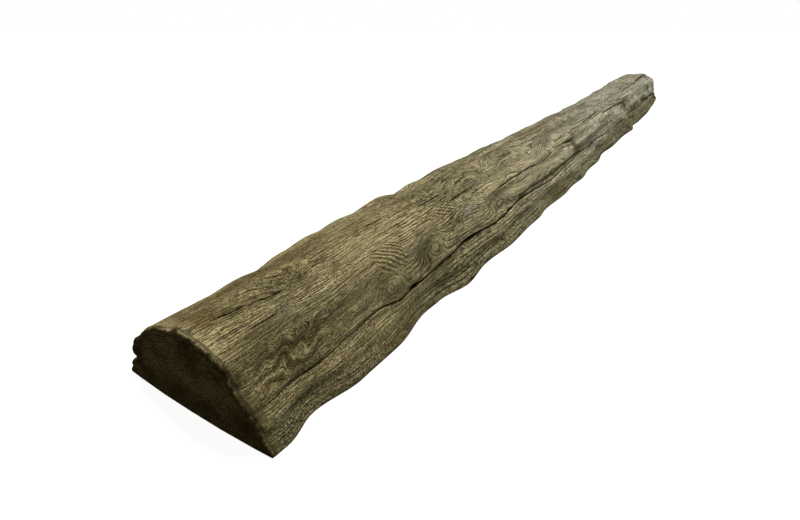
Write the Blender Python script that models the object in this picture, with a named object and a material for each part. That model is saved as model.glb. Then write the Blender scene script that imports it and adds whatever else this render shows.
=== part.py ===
"""Rustic wooden beam, 3 m long: one half log of weathered wood, sawn flat underneath.

The log lies along X with its sawn face at Z = 0 and its round face up. A section is read in polar
form about the middle of the sawn face: angle 0 is the +Y foot, 90 degrees the crown and 180 degrees
the -Y foot. Distance along the log is counted from its -X end. Sizes are millimetres and degrees
until the points are placed, in metres.
"""

import bmesh
import bpy
import numpy as np

NAME = "beam"
MM = 0.001

# Driving dimensions
LENGTH = 3000.0
NEAR_END_WEAR = 6.0
FAR_END_WEAR = 9.0
SAWN_EDGE_WEAR = 0.15
WEAR_HEIGHT = 30.0
FOOT_EDGE = 2.5
PITH_HEIGHT = 20.0
END_BULGE = 4.0
END_BULGE_LENGTH = 60.0

# Outline of the -X end: angle and radius
SECTION = [
    (0, 122), (7, 116), (15, 109), (25, 112), (43, 104), (60, 105), (78, 105), (99, 111.5),
    (128, 115), (143, 106), (158, 103.5), (170, 110), (180, 122),
]

# Five rails run along the log and say how far it swells from that outline: distance and swell at
# each crest and each hollow
LEFT_FOOT = [
    (0, 0), (60, -5), (160, 6), (290, 1), (430, 13), (560, 7), (720, 17), (880, 12), (1050, 22),
    (1230, 16), (1400, 27), (1560, 21), (1760, 30), (1940, 24), (2120, 31), (2330, 25),
    (2560, 29), (2800, 20), (3000, 9),
]
LEFT_SHOULDER = [
    (0, 0), (80, -1), (122, 2), (162, -1), (200, 7), (260, 12), (290, 11), (330, 14), (365, 12),
    (438, 17), (500, 9), (545, 15), (580, 13), (650, 16), (840, 13), (887, 15), (1018, 11),
    (1110, 14), (1174, 11), (1248, 14), (1323, 11), (1500, 15), (1620, 12), (1826, 13),
    (1961, 17), (2105, 13), (2276, 22), (2464, 26), (2679, 32), (2921, 36), (3000, 34),
]
CROWN = [
    (0, 0), (110, 2), (200, 0), (330, 8), (470, 5), (620, 11), (800, 8), (960, 13), (1130, 9),
    (1330, 12), (1520, 9), (1740, 14), (1930, 11), (2150, 16), (2380, 20), (2650, 24),
    (2860, 25), (3000, 20),
]
RIGHT_SHOULDER = [
    (0, 0), (90, -3), (190, 1), (265, 7), (330, 1), (395, 7), (465, 3), (560, 9), (660, 4),
    (790, 11), (930, 7), (1080, 12), (1190, 6), (1350, 11), (1540, 8), (1760, 12), (1950, 8),
    (2150, 13), (2400, 17), (2700, 19), (3000, 14),
]
RIGHT_FOOT = [
    (0, 0), (22, 1), (66, -8), (140, 5), (220, 7), (305, -4), (345, -2), (425, 14), (500, 8),
    (620, 18), (700, 17), (775, 19), (832, 15), (973, 23), (1050, 21), (1140, 26), (1232, 21),
    (1340, 24), (1456, 15), (1600, 24), (1753, 24), (1937, 33), (2030, 23), (2145, 28),
    (2393, 29), (2684, 20), (2900, 10), (3000, 2),
]
RAILS = [(0, LEFT_FOOT), (55, LEFT_SHOULDER), (95, CROWN), (132, RIGHT_SHOULDER), (180, RIGHT_FOOT)]

# Knots stand out and hollows lie back: distance, angle, half length, half width, height
KNOTS = [
    (95, 143, 45, 11, -4.0), (132, 94, 24, 7, 2.5), (100, 118, 26, 8, -2.0),
    (268, 147, 26, 8, 4.5), (300, 128, 22, 12, 2.5), (345, 143, 16, 8, -2.5),
    (392, 141, 30, 8, 3.5), (470, 122, 20, 12, 2.0), (540, 131, 75, 12, -3.0),
    (650, 151, 40, 7, -5.0), (720, 143, 40, 9, 3.0), (905, 108, 55, 10, -4.0),
    (990, 150, 60, 9, 3.5), (1100, 171, 55, 7, 7.0), (1180, 146, 30, 10, -4.0),
    (1440, 168, 40, 8, -6.0), (1640, 92, 70, 12, -4.0), (1935, 174, 28, 5, 6.0),
    (2040, 168, 45, 8, -5.0), (2330, 150, 60, 12, 4.0), (2560, 118, 80, 14, -4.0),
    (2790, 140, 50, 11, 3.0), (230, 32, 40, 9, 4.0), (520, 22, 60, 10, -5.0),
    (760, 46, 50, 10, 4.5), (1000, 28, 45, 9, 5.0), (1290, 38, 70, 12, -5.0),
    (1580, 20, 50, 8, 5.0), (1860, 44, 60, 11, -4.5), (2130, 26, 45, 9, 5.0),
    (2480, 40, 70, 12, -5.0), (2760, 24, 50, 10, 4.0),
]

# Flakes have lifted from the round face, each with a step up and then a slope back down: distance of
# the step, length of the slope, lowest angle, highest angle, height
FLAKES = [(1212, 860, 121, 150, 7.0), (2092, 420, 124, 152, 6.0)]
STEP_LENGTH = 16.0
FLAKE_EDGE = 5.0

# Drying cracks follow the grain. Each has the angle of its column in the grid, its line as distance
# and angle, its depth as distance and depth, and half its width at the surface.
RIGHT_CRACK = {
    "column": 157.0,
    "line": [
        (0, 156), (100, 157.5), (200, 154.5), (270, 158.5), (470, 155), (650, 159.5), (740, 156),
        (960, 162), (1270, 159), (1700, 162), (2200, 158), (3000, 156),
    ],
    "depth": [
        (0, 0), (40, 5), (180, 4), (250, 11), (600, 12), (720, 5), (1230, 5), (1700, 3),
        (2500, 4), (2900, 9), (3000, 11),
    ],
    "half_width": 4.5,
}
UPPER_CRACK = {
    "column": 132.0,
    "line": [(0, 132), (750, 132), (930, 135), (1190, 132), (1250, 134), (3000, 132)],
    "depth": [(0, 0), (660, 0), (760, 8), (900, 7), (1000, 2), (1200, 7), (1280, 0), (3000, 0)],
    "half_width": 3.2,
}
LEFT_CRACK = {
    "column": 15.0,
    "line": [(0, 14), (400, 17), (900, 13), (1500, 18), (2200, 15), (3000, 17)],
    "depth": [(0, 9), (300, 7), (800, 9), (1400, 0), (1900, 7), (2700, 6), (3000, 0)],
    "half_width": 4.5,
}
CRACKS = [RIGHT_CRACK, UPPER_CRACK, LEFT_CRACK]

# Grid of the surface: rows along the log, columns round it, rings on its ends
ROW_SPACING = 34.0
ROUND_COLUMNS = [
    0, 2.5, 6, 10, 12.8, 15, 17.2, 21, 27, 33, 40, 47, 54, 61, 68, 75, 82, 89, 96, 103, 110, 117,
    122, 127, 130.6, 132, 133.4, 137, 142, 147, 151, 154.8, 157, 159.2, 163, 167, 171, 174.5,
    177.5, 180,
]
SAWN_COLUMNS = [-1.0, -0.5, 0.0, 0.5, 1.0]
CRACK_PULL = 14.0
END_RINGS = [0.35, 0.7, 1.0]

WOOD_COLOUR = (0.165, 0.135, 0.066, 1.0)
WOOD_ROUGHNESS = 0.85
SHARP_ANGLE = np.radians(50.0)


def ease(share):
    """Smooth step from 0 to 1."""
    share = np.clip(share, 0.0, 1.0)
    return share * share * (3.0 - 2.0 * share)


def wave(place, stations):
    """Eased curve through pairs of place and value, level at each of them."""
    places, values = np.array(stations, float).T
    i = np.clip(np.searchsorted(places, place, side="right") - 1, 0, len(places) - 2)
    share = ease((place - places[i]) / (places[i + 1] - places[i]))
    return values[i] + (values[i + 1] - values[i]) * share


def swell(distance, angle):
    """Swell of the log, eased round the section from each rail to the next."""
    total = wave(distance, RAILS[0][1])
    for (angle_before, before), (angle_after, after) in zip(RAILS, RAILS[1:]):
        share = ease((angle - angle_before) / (angle_after - angle_before))
        total = total + (wave(distance, after) - wave(distance, before)) * share
    return total


def knots(distance, angle):
    """Bumps and hollows, each a Gaussian in distance and angle."""
    total = 0.0
    for knot_distance, knot_angle, half_length, half_width, height in KNOTS:
        along = (distance - knot_distance) / half_length
        across = (angle - knot_angle) / half_width
        total = total + height * np.exp(-(along**2) - across**2)
    return total


def flakes(distance, angle):
    """Lifted flakes, each a step and a slope between two angles."""
    total = 0.0
    for step, slope, lowest, highest, height in FLAKES:
        past = distance - step
        along = ease(past / STEP_LENGTH) * np.clip(1.0 - past / slope, 0.0, 1.0)
        across = ease((angle - lowest) / FLAKE_EDGE) * ease((highest - angle) / FLAKE_EDGE)
        total = total + height * along * across
    return total


def cracks(distance, angle, radius):
    """Depth of the cracks, each a V whose sides meet on the crack's line."""
    total = 0.0
    for crack in CRACKS:
        off_line = np.radians(np.abs(angle - wave(distance, crack["line"]))) * radius
        groove = np.clip(1.0 - off_line / crack["half_width"], 0.0, 1.0)
        total = total + wave(distance, crack["depth"]) * groove
    return total


def column_angles(distance):
    """Angle of each column in each row, pulled aside so that one column lies in each crack."""
    angle = np.array(ROUND_COLUMNS, float)
    pulled = np.repeat(angle[None, :], len(distance), axis=0)
    for crack in CRACKS:
        pull = ease(1.0 - np.abs(angle - crack["column"]) / CRACK_PULL)
        pulled = pulled + pull * (wave(distance, crack["line"]) - crack["column"])
    return np.clip(pulled, 0.0, 180.0)


def sections(distance):
    """Y and Z of whole sections: the round face from +Y to -Y, then the sawn face back to +Y."""
    angle = column_angles(distance)
    radius = wave(angle, SECTION) + swell(distance, angle)
    radius = radius + knots(distance, angle) + flakes(distance, angle)
    radius = radius - cracks(distance, angle, radius)
    y = radius * np.cos(np.radians(angle))
    z = radius * np.sin(np.radians(angle))
    # The round face starts a little above the sawn face, with a worn edge between them.
    z = z + FOOT_EDGE * np.clip(1.0 - z / (3.0 * FOOT_EDGE), 0.0, 1.0)
    middle = (y[:, :1] + y[:, -1:]) / 2.0
    half_width = (y[:, :1] - y[:, -1:]) / 2.0 - FOOT_EDGE
    sawn_y = middle + half_width * np.array(SAWN_COLUMNS)
    return np.hstack([y, sawn_y]), np.hstack([z, np.zeros_like(sawn_y)])


def distances_along():
    """Distances of the rows between the worn ends, with a pair of rows at each flake's step."""
    first = NEAR_END_WEAR
    last = LENGTH - FAR_END_WEAR
    even = np.linspace(first, last, round((last - first) / ROW_SPACING) + 1)
    steps = np.ravel([[step, step + STEP_LENGTH] for step, *_ in FLAKES])
    clear = np.abs(even[:, None] - steps).min(axis=1) > ROW_SPACING / 3.0
    return np.sort(np.append(even[clear], steps))


def end_rows(end, inward, wear):
    """Rows of one end from its middle outwards: place, distance of its section, inset, share."""
    section = end + inward * wear
    flat = [(end, section, wear, share) for share in END_RINGS]
    half_turn = wear * (1.0 - np.cos(np.radians(45.0)))
    return flat + [(end + inward * half_turn, section, half_turn, 1.0)]


def surface_grid():
    """Points of all rows and columns, in metres, about the middle of the footprint."""
    rows = end_rows(0.0, 1.0, NEAR_END_WEAR)
    rows += [(distance, distance, 0.0, 1.0) for distance in distances_along()]
    rows += reversed(end_rows(LENGTH, -1.0, FAR_END_WEAR))
    place, section, inset, share = np.array(rows).T[:, :, None]
    y, z = sections(section)
    # An end is worn round all over its rim, but hardly at all along the sawn face.
    worn = inset * np.clip(z / WEAR_HEIGHT, SAWN_EDGE_WEAR, 1.0)
    scale = share * (1.0 - worn / np.hypot(y, z - PITH_HEIGHT))
    # The -X end was sawn off a little out of flat and bulges in its middle.
    bulge = END_BULGE * (1.0 - (y / SECTION[0][1]) ** 2) * ease(1.0 - place / END_BULGE_LENGTH)
    x = place - bulge
    grid = np.stack([x, y * scale, PITH_HEIGHT + (z - PITH_HEIGHT) * scale], axis=-1) * MM
    footprint = grid[:, :, :2]
    footprint -= (footprint.max(axis=(0, 1)) + footprint.min(axis=(0, 1))) / 2.0
    return grid


def wood_material():
    """Weathered olive-brown wood."""
    material = bpy.data.materials.new("weathered wood")
    material.use_nodes = True
    shader = material.node_tree.nodes["Principled BSDF"]
    shader.inputs["Base Color"].default_value = WOOD_COLOUR
    shader.inputs["Roughness"].default_value = WOOD_ROUGHNESS
    shader.inputs["Metallic"].default_value = 0.0
    return material


def log_mesh():
    """A UV sphere drawn out into the log: its poles go to the ends, its meridians along the log."""
    grid = surface_grid()
    rings, columns = grid.shape[:2]
    sphere = bmesh.new()
    bmesh.ops.create_uvsphere(sphere, u_segments=columns, v_segments=rings + 1, radius=1.0)
    mesh = bpy.data.meshes.new(NAME)
    sphere.to_mesh(mesh)
    sphere.free()

    points = np.empty(len(mesh.vertices) * 3)
    mesh.vertices.foreach_get("co", points)
    x, y, z = points.reshape(-1, 3).T
    ring = np.rint((np.arcsin(np.clip(z, -1.0, 1.0)) / np.pi + 0.5) * (rings + 1)).astype(int)
    column = np.rint(np.arctan2(y, x) / (2.0 * np.pi) * columns).astype(int) % columns
    near_pole, far_pole = np.repeat(grid[[0, -1]].mean(axis=1), columns, axis=0).reshape(2, 1, columns, 3)
    placed = np.concatenate([near_pole, grid, far_pole])[ring, column]
    mesh.vertices.foreach_set("co", placed.ravel())
    mesh.update()
    return mesh


def build():
    """Clear the scene and add the beam in its collection."""
    for old in list(bpy.data.objects):
        bpy.data.objects.remove(old)
    collection = bpy.data.collections.new("rustic wooden beam")
    bpy.context.scene.collection.children.link(collection)
    mesh = log_mesh()
    mesh.materials.append(wood_material())
    mesh.shade_smooth()
    mesh.set_sharp_from_angle(angle=SHARP_ANGLE)
    collection.objects.link(bpy.data.objects.new(NAME, mesh))


build()
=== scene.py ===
"""Looks of the rustic wooden beam: a weathered half log, sawn flat underneath, on a pale floor."""

import math

import bpy
import numpy as np
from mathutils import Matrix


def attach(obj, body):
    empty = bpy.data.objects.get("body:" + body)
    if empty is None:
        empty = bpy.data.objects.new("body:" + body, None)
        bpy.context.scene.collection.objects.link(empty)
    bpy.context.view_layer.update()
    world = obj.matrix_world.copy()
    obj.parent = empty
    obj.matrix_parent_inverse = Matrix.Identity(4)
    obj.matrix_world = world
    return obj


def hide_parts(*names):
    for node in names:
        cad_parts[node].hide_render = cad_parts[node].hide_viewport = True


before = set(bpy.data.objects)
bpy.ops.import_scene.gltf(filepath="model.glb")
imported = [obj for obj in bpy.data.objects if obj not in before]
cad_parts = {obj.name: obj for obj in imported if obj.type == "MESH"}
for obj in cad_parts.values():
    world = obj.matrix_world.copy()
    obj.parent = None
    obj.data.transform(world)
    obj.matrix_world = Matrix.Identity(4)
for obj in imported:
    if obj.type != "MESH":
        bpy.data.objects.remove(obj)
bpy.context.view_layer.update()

scene = bpy.context.scene
scene.view_settings.view_transform = "Standard"

# The camera
# It stands low off the corner of the near end and looks down along the log with a wide lens, so that
# the far end runs away to the upper right.
CAMERA_PLACE = (-1.7034, -0.3989, 0.3802)
CAMERA_HEADING = 32.50
CAMERA_FALL = 26.64
CAMERA_LENS = 21.06

camera = bpy.data.objects.new("camera", bpy.data.cameras.new("camera"))
camera.data.lens = CAMERA_LENS
camera.location = CAMERA_PLACE
camera.rotation_euler = (math.radians(90.0 - CAMERA_FALL), 0.0, math.radians(CAMERA_HEADING - 90.0))
scene.collection.objects.link(camera)
scene.camera = camera


# The floor and the studio light
# A plain pale table, faintly lit from within as product tables are, reaches far out under the log. One
# wide soft light stands nearly overhead, a little towards the far end, and a pale room fills the rest.
FLOOR_SIZE = 120.0
FLOOR_COLOUR = (0.19, 0.19, 0.186, 1.0)
FLOOR_ROUGHNESS = 0.9
FLOOR_GLOW_COLOUR = (1.0, 1.0, 0.99, 1.0)
FLOOR_GLOW = 0.94
ROOM_COLOUR = (1.0, 1.0, 1.0, 1.0)
ROOM_LIGHT = 0.17
BACKDROP_LIGHT = 1.0
OVERHEAD_LIGHT = 7.0
OVERHEAD_SPREAD = 22.0
OVERHEAD_FROM = (0.36, 0.22, 0.90)

light = bpy.data.lights.new("overhead light", "SUN")
light.energy = OVERHEAD_LIGHT
light.angle = math.radians(OVERHEAD_SPREAD)
lamp = bpy.data.objects.new("overhead light", light)
lamp.location = OVERHEAD_FROM
lamp.rotation_euler = (-lamp.location).to_track_quat("-Z", "Y").to_euler()
scene.collection.objects.link(lamp)

half_floor = FLOOR_SIZE / 2.0
floor_mesh = bpy.data.meshes.new("floor")
floor_corners = [(-half_floor, -half_floor, 0), (half_floor, -half_floor, 0)]
floor_corners += [(half_floor, half_floor, 0), (-half_floor, half_floor, 0)]
floor_mesh.from_pydata(floor_corners, [], [(0, 1, 2, 3)])
floor = bpy.data.objects.new("floor", floor_mesh)
scene.collection.objects.link(floor)

floor_material = bpy.data.materials.new("pale table")
floor_material.use_nodes = True
floor_shader = floor_material.node_tree.nodes["Principled BSDF"]
floor_look = {
    "Base Color": FLOOR_COLOUR, "Roughness": FLOOR_ROUGHNESS, "Specular IOR Level": 0.0,
    "Emission Color": FLOOR_GLOW_COLOUR, "Emission Strength": FLOOR_GLOW,
}
for socket, value in floor_look.items():
    floor_shader.inputs[socket].default_value = value
floor_mesh.materials.append(floor_material)

# The room lights the log dimly, and shows as a white backdrop behind it.
room = bpy.data.worlds.new("room")
room.use_nodes = True
room_nodes = room.node_tree.nodes
room_light = room_nodes["Background"]
backdrop = room_nodes.new("ShaderNodeBackground")
for background, strength in ((room_light, ROOM_LIGHT), (backdrop, BACKDROP_LIGHT)):
    background.inputs["Color"].default_value = ROOM_COLOUR
    background.inputs["Strength"].default_value = strength
seen = room_nodes.new("ShaderNodeLightPath")
either = room_nodes.new("ShaderNodeMixShader")
room.node_tree.links.new(seen.outputs["Is Camera Ray"], either.inputs["Fac"])
room.node_tree.links.new(room_light.outputs["Background"], either.inputs[1])
room.node_tree.links.new(backdrop.outputs["Background"], either.inputs[2])
room.node_tree.links.new(either.outputs["Shader"], room_nodes["World Output"].inputs["Surface"])
scene.world = room


# The log
# One half of a young trunk, sawn flat underneath and at both ends, then left in the weather: its soft
# grain is worn out from between the hard, knots stand up, and long drying cracks run with the grain.
# It lies along X on its sawn face. A section is read in polar form about the middle of that face, from
# the +Y foot at 0 over the crown at 90 to the -Y foot at 180 degrees. Sizes are millimetres, counted
# from the -X end, until the points are placed.
MM = 0.001
LENGTH = 3000.0
NEAR_END_WEAR = 6.0
FAR_END_WEAR = 9.0
SAWN_EDGE_WEAR = 0.15
WEAR_HEIGHT = 30.0
FOOT_EDGE = 0.9
PITH_HEIGHT = 20.0
END_BULGE = 4.0
END_BULGE_LENGTH = 60.0
MEAN_RADIUS = 112.0

# Outline of the -X end: angle and radius
SECTION = [
    (0, 122), (7, 116), (15, 109), (25, 112), (43, 104), (60, 105), (78, 105), (99, 111.5),
    (128, 115), (143, 106), (158, 103.5), (170, 110), (180, 122),
]

# Rails along the log: how far it swells from that outline, as distance and swell
LEFT_FOOT = [
    (0, 0), (60, -5), (160, 6), (290, 1), (430, 13), (560, 7), (720, 17), (880, 12), (1050, 22),
    (1230, 16), (1400, 27), (1560, 21), (1760, 30), (1940, 24), (2120, 31), (2330, 25),
    (2560, 29), (2800, 20), (3000, 9),
]
LEFT_SHOULDER = [
    (0, 0), (80, -1), (122, 2), (162, -1), (200, 7), (260, 12), (290, 11), (330, 14), (365, 12),
    (438, 17), (500, 9), (545, 15), (580, 13), (650, 16), (840, 13), (887, 15), (1018, 11),
    (1110, 14), (1174, 11), (1248, 14), (1323, 11), (1500, 15), (1620, 12), (1826, 13),
    (1961, 17), (2105, 13), (2276, 22), (2464, 26), (2679, 32), (2921, 36), (3000, 34),
]
CROWN = [
    (0, 0), (110, 2), (200, 0), (330, 8), (470, 5), (620, 11), (800, 8), (960, 13), (1130, 9),
    (1330, 12), (1520, 9), (1740, 14), (1930, 11), (2150, 16), (2380, 20), (2650, 24),
    (2860, 25), (3000, 22),
]
RIGHT_SHOULDER = [
    (0, 0), (90, -3), (190, 1), (265, 7), (330, 1), (395, 7), (465, 3), (560, 9), (660, 4),
    (790, 11), (930, 7), (1080, 12), (1190, 6), (1350, 11), (1540, 8), (1760, 12), (1950, 8),
    (2150, 13), (2400, 17), (2700, 19), (3000, 18),
]
RIGHT_FOOT = [
    (0, 1), (22, 2), (66, -7), (140, 6), (220, 8), (305, -3), (345, -1), (425, 15), (500, 9),
    (620, 19), (700, 18), (775, 20), (832, 16), (973, 24), (1050, 22), (1140, 27), (1232, 22),
    (1340, 25), (1456, 16), (1600, 24), (1753, 24), (1937, 33), (2030, 23), (2145, 28),
    (2393, 29), (2684, 20), (2900, 10), (3000, 2),
]
RAILS = [(0, LEFT_FOOT), (55, LEFT_SHOULDER), (95, CROWN), (132, RIGHT_SHOULDER), (180, RIGHT_FOOT)]

# Knots and hollows: distance, angle, half length, half width in degrees, height
KNOTS = [
    (95, 143, 45, 11, -4), (132, 94, 24, 7, 2.5), (100, 118, 26, 8, -2),
    (268, 147, 26, 8, 4.5), (300, 128, 22, 12, 2.5), (345, 143, 16, 8, -2.5),
    (392, 141, 30, 8, 3.5), (470, 122, 20, 12, 2), (540, 131, 75, 12, -3),
    (650, 151, 40, 7, -5), (720, 143, 40, 9, 3), (905, 108, 55, 10, -4),
    (990, 150, 60, 9, 3.5), (1100, 171, 55, 7, 7), (1180, 146, 30, 10, -4),
    (1440, 168, 40, 8, -6), (1640, 92, 70, 12, -4), (1935, 174, 28, 5, 6),
    (2040, 168, 45, 8, -5), (2330, 150, 60, 12, 4), (2560, 118, 80, 14, -4),
    (2790, 140, 50, 11, 3), (230, 32, 40, 9, 4), (520, 22, 60, 10, -5),
    (760, 46, 50, 10, 4.5), (1000, 28, 45, 9, 5), (1290, 38, 70, 12, -5),
    (1580, 20, 50, 8, 5), (1860, 44, 60, 11, -4.5), (2130, 26, 45, 9, 5),
    (2480, 40, 70, 12, -5), (2760, 24, 50, 10, 4),
]

# Lifted flakes: distance of the step, length of the slope behind it, lowest and highest angle, height
FLAKES = [(1212, 860, 121, 150, 7.0), (2092, 420, 124, 152, 6.0)]
STEP_LENGTH = 16.0
FLAKE_EDGE = 5.0

# Drying cracks: the angle of the column that follows each one, its line as distance and angle, its
# depth as distance and depth, and half its width at the surface
CRACKS = [
    {
        "column": 157.0,
        "line": [
            (0, 157.5), (52, 158.5), (100, 159.3), (152, 156.4), (215, 154.3), (278, 160),
            (330, 160), (412, 155.4), (466, 154.4), (642, 159.1), (740, 154.9), (926, 160.5),
            (1000, 160.2), (1232, 156.9), (1700, 161), (2200, 158), (2524, 159.5), (3000, 162),
        ],
        "depth": [
            (0, 0), (40, 2), (90, 3.6), (150, 2), (215, 3), (255, 8), (300, 12), (600, 12),
            (650, 14), (735, 14), (770, 4), (1230, 4), (1700, 3), (2450, 3), (2600, 8), (3000, 6),
        ],
        "half_width": 2.1,
    },
    {
        "column": 132.0,
        "line": [
            (0, 132.5), (720, 132.6), (850, 133.3), (915, 135.5), (1154, 132.8), (1213, 133.3),
            (3000, 132),
        ],
        "depth": [
            (0, 0), (655, 0), (690, 7), (900, 8), (940, 2), (1100, 2), (1150, 6), (1215, 6),
            (1250, 0), (3000, 0),
        ],
        "half_width": 1.3,
    },
    {
        "column": 117.0,
        "line": [
            (0, 118.8), (80, 118.8), (377, 121.7), (419, 121.7), (503, 117.8), (575, 118),
            (1371, 125), (1494, 123.4), (1675, 120.4), (3000, 119),
        ],
        "depth": [
            (0, 0), (52, 0), (60, 4), (80, 4), (92, 0), (366, 0), (380, 5), (412, 4), (426, 0),
            (494, 0), (510, 6), (565, 5), (584, 0), (1340, 0), (1380, 6), (1650, 6), (1690, 0),
            (3000, 0),
        ],
        "half_width": 2.0,
    },
    {
        "column": 101.0,
        "line": [
            (0, 100.5), (36, 101.8), (46, 103.2), (58, 104.1), (73, 105.7), (99, 107.8), (114, 108.6),
            (437, 105.8), (505, 105.8), (2600, 109.3), (3000, 110),
        ],
        "depth": [
            (0, 0), (30, 0), (36, 9), (58, 8), (66, 4), (74, 7), (90, 6), (96, 2), (108, 5),
            (118, 0), (428, 0), (442, 6), (498, 5), (514, 0), (2560, 0), (2620, 9), (3000, 10),
        ],
        "half_width": 2.1,
    },
    {
        "column": 41.0,
        "line": [(0, 40), (700, 43), (1300, 39), (1900, 44), (3000, 40)],
        "depth": [
            (0, 0), (180, 0), (240, 7), (520, 6), (600, 0), (1350, 0), (1420, 7), (1800, 8),
            (1880, 0), (2500, 0), (2560, 5), (2800, 0), (3000, 0),
        ],
        "half_width": 2.2,
    },
    {
        "column": 15.0,
        "line": [(0, 14), (400, 17), (900, 13), (1500, 18), (2200, 15), (3000, 17)],
        "depth": [(0, 5), (300, 7), (800, 9), (1400, 0), (1900, 7), (2700, 6), (3000, 0)],
        "half_width": 3.0,
    },
]
CRACK_PULL = 14.0
CRACK_UNEVENNESS = (0.55, 26, 9)
CRACK_SEED = 40
CRACK_FULL_DEPTH = 11.0
CRACK_SHALLOW_WIDTH = 0.45
CRACK_WIDENING = (0.75, 0.00055, 1.5)
CRACK_STEEPNESS = 0.7

# Places from here on are given as distance, angle, half length and half width in millimetres, and one
# more number. For a swirl, round which the grain lines flow, it is the height of its hill of grain.
SWIRLS = [
    (62, 141, 26, 11, 12), (90, 149, 18, 8, -11), (40, 148, 18, 9, 11), (112, 139, 20, 8, -10),
    (102, 117, 12, 6, 8), (136, 92, 26, 12, -26), (160, 124, 40, 10, -5),
    (253, 146, 26, 14, 40), (383, 140, 27, 17, 38),
    (525, 131, 54, 16, 11), (455, 160, 6, 4, 5), (650, 142, 46, 15, 30), (700, 110, 90, 15, -28),
    (820, 96, 60, 15, 34), (905, 118, 48, 15, -36), (960, 150, 60, 13, 30), (1010, 122, 36, 12, 26),
    (1120, 110, 90, 18, 40), (1180, 150, 46, 14, -34), (1290, 100, 70, 15, -32),
    (1380, 150, 90, 16, 40), (1500, 132, 60, 14, -26), (1640, 98, 100, 18, 44),
    (1700, 145, 70, 15, 30), (1900, 112, 100, 16, -40), (2020, 142, 60, 16, 40),
    (2240, 120, 110, 18, 42), (2330, 150, 80, 17, -44), (2560, 105, 120, 18, -40),
    (2650, 145, 90, 16, 36), (2850, 122, 60, 15, 34), (230, 32, 50, 15, 40),
    (420, 70, 90, 14, -30), (520, 24, 60, 14, -36), (760, 46, 60, 16, 44), (860, 76, 80, 14, 30),
    (1000, 28, 55, 14, -42), (1290, 40, 90, 16, 40), (1400, 74, 80, 14, -30), (1580, 22, 60, 13, 38),
    (1860, 46, 80, 16, -44), (2000, 78, 90, 15, 32), (2130, 28, 55, 14, 40), (2480, 42, 90, 17, -42),
    (2600, 72, 90, 15, 34), (2760, 26, 60, 14, 38), (1100, 172, 60, 10, 24), (1440, 169, 60, 10, -24),
    (1935, 173, 34, 9, 26), (2500, 170, 90, 11, -22),
]

# Regions of figured grain, whose lines wind like the contours of hills, with their strength
FIGURED = [
    (68, 145, 45, 17, 1.3), (136, 92, 40, 12, 0.6), (285, 135, 60, 22, 0.5), (420, 140, 70, 20, 0.25),
    (540, 125, 110, 28, 0.35), (640, 140, 70, 14, 0.8), (700, 112, 160, 32, 1), (900, 108, 170, 34, 1),
    (1000, 140, 110, 18, 0.8), (1150, 105, 170, 40, 1), (1400, 110, 220, 40, 0.9),
    (1700, 120, 300, 40, 0.9), (2200, 120, 400, 50, 0.8), (2700, 120, 300, 50, 0.8),
    (250, 75, 110, 18, 0.5), (450, 75, 120, 20, 0.6), (300, 40, 120, 24, 0.7), (800, 50, 200, 30, 0.8),
    (1400, 50, 300, 30, 0.8), (2100, 45, 300, 30, 0.8), (2700, 45, 250, 30, 0.8),
]

# Patches where slantwise ripples cross the grain, with their strength
RIPPLES = [
    (285, 128, 36, 21, 1), (470, 121, 36, 13, 0.9), (2020, 137, 60, 22, 0.8), (1330, 52, 46, 24, 1),
]

# Dark marks: painted shadows along the steps and edges of the lifted plates, and thin cracks and holes:
# half width in millimetres, strength, and the line as distance and angle
MARKS_AND_SHADOW_LINES = [
    (3.6, 1, [(1674, 126.8), (1774, 127.7), (1874, 128), (2008, 131.5), (2046, 141.8), (2058, 153.1)]),
    (3, 0.7, [(1179, 129.8), (1260, 126), (1365, 124), (1512, 120.9), (1707, 122.3)]),
    (3.6, 0.8, [(2039, 127.3), (2141, 128)]),
    (4, 1, [(1145, 133), (1212, 133.8)]),
    (9, 0.4, [(1207, 137.3), (1221, 145.2), (1254, 152.6)]),
    (4, 1, [(1211, 153.6), (1240, 155)]),
    (3, 1.1, [(732, 153.7), (787, 152.1), (884, 152.1), (991, 151.6), (1125, 153), (1210, 154.4)]),
    (3, 0.7, [(652, 168.4), (693, 168.5), (747, 166.6)]),
    (4, 0.9, [(2412, 151.9), (2672, 154.6), (2988, 156.8)]),
    (9, 0.9, [(2735, 138.6), (2760, 139.4)]),
    (9, 0.9, [(2455, 152.4), (2480, 153)]),
    (2.6, 1.4, [(454, 160), (457, 160.1)]),
    (3.4, 1.2, [(312, 156.6), (321, 156.8)]),
    (4, 0.8, [(1380, 60), (1600, 57), (1760, 52), (1790, 44)]),
    (5, 0.8, [(2150, 62), (2400, 60), (2460, 52)]),
    (3.5, 0.7, [(620, 66), (820, 63), (960, 64)]),
]

# Figured places, where broad dark and pale bands lie side by side, with their strength
BANDED_PATCHES = [
    (78, 143, 54, 20, 1.3), (136, 92, 30, 12, 0.7), (130, 30, 60, 16, 1), (810, 44, 80, 16, 0.8),
]

# Places where the ring lines are cut deep and unbroken, with their strength
DEEP_LINES = [
    (284, 133, 27, 24, 1.2), (253, 146, 26, 14, 0.7), (375, 145, 24, 14, 1), (500, 124, 50, 18, 0.8),
    (720, 112, 120, 26, 0.6), (950, 108, 140, 26, 0.7), (1150, 105, 120, 30, 0.6),
    (136, 92, 26, 11, 0.6), (230, 32, 40, 12, 0.7), (760, 46, 60, 14, 0.7), (1330, 52, 40, 24, 1),
    (1860, 46, 80, 16, 0.6), (2480, 42, 90, 16, 0.6), (2040, 138, 40, 24, 0.6),
]

# Waves of the grain lines, then how they wind in the figured regions near by and farther off: height,
# length, width and seed
GRAIN_WAVES = [(7, 430, 62, 1), (2.4, 150, 30, 2), (0.9, 40, 13, 3)]
NEAR_WINDING = [(8.5, 62, 21, 21), (3.5, 25, 9, 22)]
FAR_WINDING = [(13, 210, 34, 24), (5, 90, 16, 25)]
FAR_FROM = 600.0
WINDING_CHANGE = 700.0

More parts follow.
